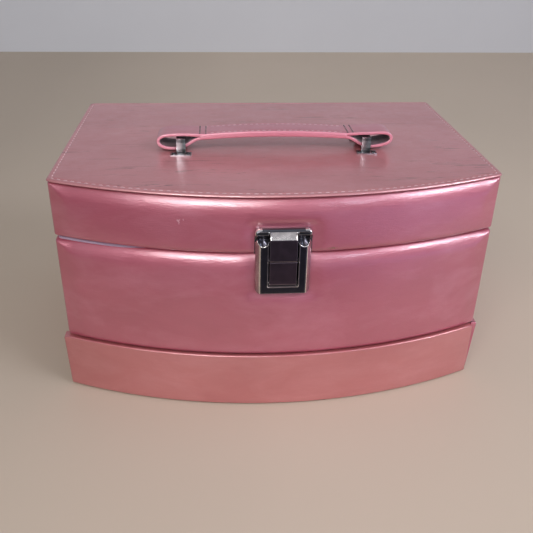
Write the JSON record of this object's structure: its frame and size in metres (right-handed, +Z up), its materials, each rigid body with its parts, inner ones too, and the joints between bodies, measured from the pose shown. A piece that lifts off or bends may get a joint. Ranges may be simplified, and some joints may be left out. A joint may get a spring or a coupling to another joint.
{
  "type": "makeup train case",
  "caption": "Bow-fronted pink vanity train case with a hinged mirrored lid, strap handle, push latch, rising inner tray, lower compartment and a pull-out bottom drawer.",
  "frame": {"origin": "centre of the underside, on the table, midway between the straight sides and midway along their depth", "axes": "+Z up, -Y towards the bowed front with the latch, +X to the right as seen from the front"},
  "size_m": [0.3043, 0.2146, 0.1772],
  "materials": {
    "skin_pink": "pearly pink leatherette with fine wrinkles",
    "panel_pink": "flat pearly pink leatherette cover panel with a stitched edge",
    "strap_pink": "stitched pink strap",
    "underside": "dull pink covering sheet",
    "board": "grey-brown fibreboard",
    "velvet": "pale lilac velveteen",
    "velvet_deep": "mauve velveteen",
    "roll_foam": "velveteen over foam rolls",
    "mirror_glass": "silvered glass",
    "frame_pink": "pink covered frame",
    "gunmetal": "dark polished gunmetal plating",
    "steel": "plated steel",
    "bright_chrome": "bright chrome plating"
  },
  "bodies": {
    "case": {"base_underside_cover": "underside", "base_bottom_board": "board", "base_side_boards": "board", "base_back_board": "board", "base_wrap": "skin_pink", "compartment_floor": "board", "body_side_boards": "board", "body_back_board": "board", "body_front_board": "board", "body_front_pad": "skin_pink", "body_wrap": "skin_pink", "body_lining": "velvet", "inner_lip": "velvet", "hinge_body_leaves": "steel", "hinge_pins": "steel", "hinge_body_screws": "steel", "latch_shell": "gunmetal", "latch_lower_rivets": "steel", "latch_spring": "steel", "arm_pivot_rivets": "steel"},
    "lid": {"lid_side_boards": "board", "lid_back_board": "board", "lid_front_board": "board", "lid_top_board": "board", "lid_front_pad": "skin_pink", "lid_wrap": "skin_pink", "lid_cover_panel": "panel_pink", "lid_lining": "velvet", "mirror_glass": "mirror_glass", "mirror_frame": "frame_pink", "hinge_lid_leaves": "steel", "hinge_lid_screws": "steel", "latch_plate": "gunmetal", "latch_pin": "steel", "latch_upper_rivets": "steel", "lid_brackets": "steel", "lid_bracket_rivets": "steel", "handle_staples": "bright_chrome", "staple_rivets": "bright_chrome"},
    "hasp": {"latch_hasp": "gunmetal"},
    "release_button": {"latch_button": "gunmetal"},
    "arms": {"tray_arms": "steel"},
    "tray": {"tray_box": "velvet", "tray_lining": "velvet_deep", "tray_dividers": "velvet_deep", "tray_ring_rolls": "roll_foam", "tray_pins": "steel"},
    "drawer": {"drawer_box": "board", "drawer_front": "skin_pink", "drawer_lining": "velvet_deep", "drawer_dividers": "velvet_deep", "drawer_ring_rolls": "roll_foam"},
    "grip": {"handle_grip": "strap_pink"},
    "loop_left": {"handle_loop_left": "strap_pink"},
    "loop_right": {"handle_loop_right": "strap_pink"}
  },
  "joints": [
    {"name": "lid_hinge", "type": "hinge", "parent": "case", "child": "lid", "pos_m": [0, 0.0889, 0.121], "axis": [-1, 0, 0], "range_deg": [0, 95]},
    {"name": "hasp_hinge", "type": "hinge", "parent": "lid", "child": "hasp", "pos_m": [0, -0.11975, 0.1372], "axis": [-1, 0, 0], "range_deg": [0, 90]},
    {"name": "button_press", "type": "slide", "parent": "case", "child": "release_button", "axis": [0, 1, 0], "range_m": [0, 0.0015]},
    {"name": "drawer_slide", "type": "slide", "parent": "case", "child": "drawer", "axis": [0, -1, 0], "range_m": [0, 0.13]},
    {"name": "arm_pivot", "type": "hinge", "parent": "case", "child": "arms", "pos_m": [0, 0.0049, 0.111], "axis": [-1, 0, 0], "range_deg": [0, 95]},
    {"name": "tray_pivot", "type": "hinge", "parent": "arms", "child": "tray", "pos_m": [0, -0.05148, 0.09048], "axis": [-1, 0, 0], "range_deg": [-95, 0]},
    {"name": "handle_lift", "type": "slide", "parent": "lid", "child": "grip", "axis": [0, 0, 1], "range_m": [0, 0.022]},
    {"name": "loop_left_draw", "type": "slide", "parent": "grip", "child": "loop_left", "axis": [0.3417, 0, -0.9398], "range_m": [0, 0.0235]},
    {"name": "loop_right_draw", "type": "slide", "parent": "grip", "child": "loop_right", "axis": [-0.3417, 0, -0.9398], "range_m": [0, 0.0235]}
  ],
  "couplings": [
    {"joint": "arm_pivot", "follows": "lid_hinge", "ratio": 1},
    {"joint": "tray_pivot", "follows": "lid_hinge", "ratio": -1},
    {"joint": "loop_left_draw", "follows": "handle_lift", "ratio": 1.0641},
    {"joint": "loop_right_draw", "follows": "handle_lift", "ratio": 1.0641}
  ]
}
